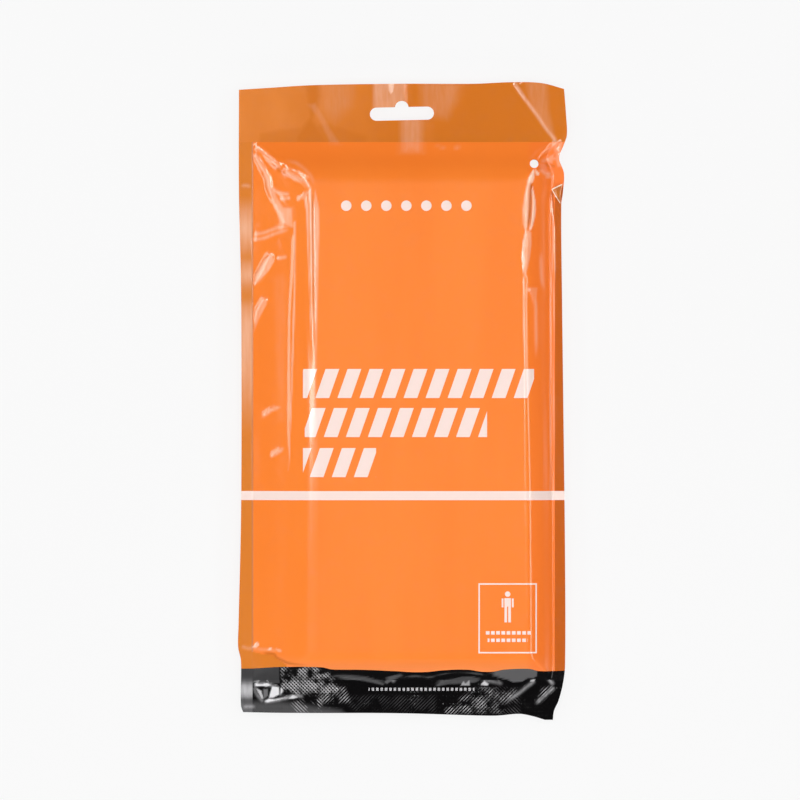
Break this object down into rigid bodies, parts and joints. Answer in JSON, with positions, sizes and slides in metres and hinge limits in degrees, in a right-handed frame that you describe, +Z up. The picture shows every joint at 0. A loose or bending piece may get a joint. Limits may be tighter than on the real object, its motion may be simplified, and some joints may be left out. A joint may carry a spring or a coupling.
{
  "type": "folded emergency sleeping bag in a sealed film pouch",
  "caption": "Emergency sleeping bag folded into a flat slab and sealed in a glossy film pouch with a header strip, a hang slot and a crimped foot.",
  "frame": {"origin": "centre of the pouch's outline, on the surface that it lies on", "axes": "+Z up out of the printed front, +Y from the crimped foot towards the header with the hang slot, +X to the right as the front is seen"},
  "size_m": [0.1645, 0.319, 0.0196],
  "materials": {
    "welded_film": "glossy orange film over a flat weld, a little darker than the front",
    "printed_film": "glossy printed orange film with sharp creases",
    "back_film": "glossy plain orange film",
    "black_film": "glossy black film, crimped and crumpled",
    "bag_sheet": "soft orange polythene sheet"
  },
  "bodies": {
    "root": {"header": "welded_film", "front_film": "printed_film", "back_film": "back_film", "foot_seal": "black_film", "folded_bag": "bag_sheet"}
  },
  "joints": []
}
